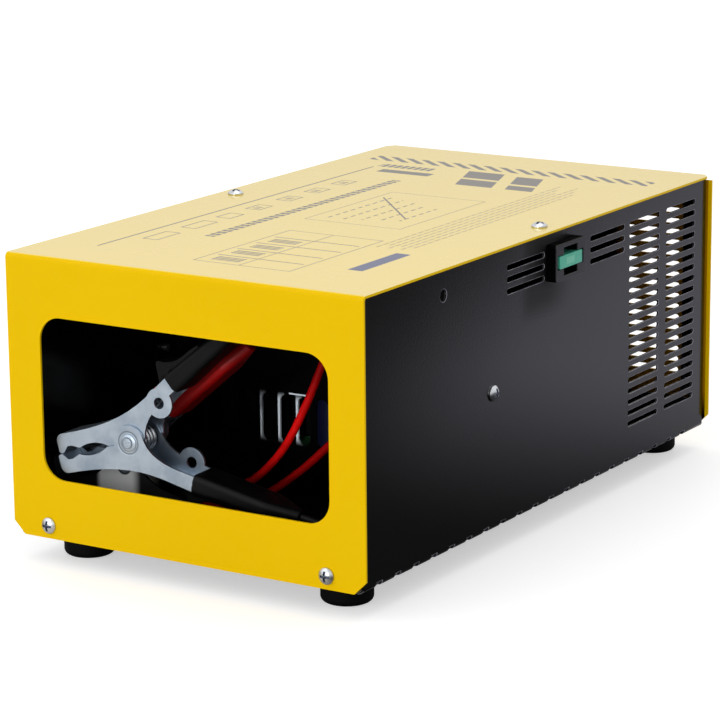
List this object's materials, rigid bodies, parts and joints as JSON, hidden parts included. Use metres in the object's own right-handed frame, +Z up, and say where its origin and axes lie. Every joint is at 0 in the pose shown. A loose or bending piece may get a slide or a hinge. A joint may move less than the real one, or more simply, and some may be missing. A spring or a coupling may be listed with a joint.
{
  "type": "battery maintainer",
  "caption": "Battery maintainer in a folded steel case with a window compartment that stores two spring clamps on their leads, a side fuse holder and vent slots.",
  "frame": {"origin": "middle of the case's footprint, on the surface that the feet stand on", "axes": "+Z up, -Y out of the windowed front, +X towards the fuse side"},
  "size_m": [0.2034, 0.3568, 0.1533],
  "materials": {
    "yellow_coat": "gloss powder coat",
    "black_coat": "gloss powder coat",
    "foot_rubber": "matt",
    "zinc_steel": "bright zinc plate",
    "black_plastic": "satin",
    "contact_brass": "tinned",
    "green_plastic": "clear tinted",
    "lens_plastic": "clear tinted",
    "grey_plastic": "satin",
    "board_laminate": "satin",
    "fin_aluminium": "black anodised",
    "sleeve_plastic": "sleeve over an aluminium can",
    "core_steel": "varnished laminations",
    "winding_copper": "enamelled copper",
    "clamp_steel": "bright zinc plate",
    "spring_steel": "bright",
    "black_vinyl": "satin vinyl",
    "red_vinyl": "satin vinyl"
  },
  "bodies": {
    "case": {"cover": "yellow_coat", "chassis": "black_coat", "partition": "black_coat", "foot_front_left": "foot_rubber", "foot_front_right": "foot_rubber", "foot_rear_left": "foot_rubber", "foot_rear_right": "foot_rubber", "foot_screws": "zinc_steel", "front_screws": "zinc_steel", "rear_screws": "zinc_steel", "top_screws": "zinc_steel", "partition_screws": "zinc_steel", "fuse_holder": "black_plastic", "fuse_terminals": "contact_brass", "blade_fuse": "green_plastic", "fuse_blades": "contact_brass", "mains_inlet": "black_plastic", "inlet_pins": "contact_brass", "inlet_screws": "zinc_steel", "indicator_lenses": "lens_plastic", "lead_grommets": "foot_rubber", "output_terminals": "grey_plastic", "circuit_board": "board_laminate", "board_standoffs": "zinc_steel", "board_screws": "zinc_steel", "heat_sink": "fin_aluminium", "power_transistors": "black_plastic", "capacitors": "sleeve_plastic", "transformer_core": "core_steel", "transformer_winding": "winding_copper", "transformer_frame": "zinc_steel", "transformer_screws": "zinc_steel", "black_fixed_jaw": "clamp_steel", "black_rivet": "clamp_steel", "black_spring": "spring_steel", "black_lower_boot": "black_vinyl", "red_fixed_jaw": "clamp_steel", "red_rivet": "clamp_steel", "red_spring": "spring_steel", "red_lower_boot": "red_vinyl", "black_lead": "black_vinyl", "black_coil": "black_vinyl", "red_lead": "red_vinyl", "red_coil": "red_vinyl", "coil_tie": "black_plastic"},
    "black_upper_half": {"black_moving_jaw": "clamp_steel", "black_upper_boot": "black_vinyl"},
    "red_upper_half": {"red_moving_jaw": "clamp_steel", "red_upper_boot": "red_vinyl"}
  },
  "joints": [
    {"name": "black_clamp_hinge", "type": "hinge", "parent": "case", "child": "black_upper_half", "pos_m": [-0.0357, -0.1591, 0.0643], "axis": [-0.0349, 0.9994, 0], "range_deg": [0, 26], "stiffness_Nm_per_rad": 0.45, "springref_deg": -51.57, "deforming": ["black_spring"]},
    {"name": "red_clamp_hinge", "type": "hinge", "parent": "case", "child": "red_upper_half", "pos_m": [-0.053, -0.1399, 0.0462], "axis": [-0.0349, 0.9994, 0], "range_deg": [0, 26], "stiffness_Nm_per_rad": 0.45, "springref_deg": -51.57, "deforming": ["red_spring"]}
  ]
}
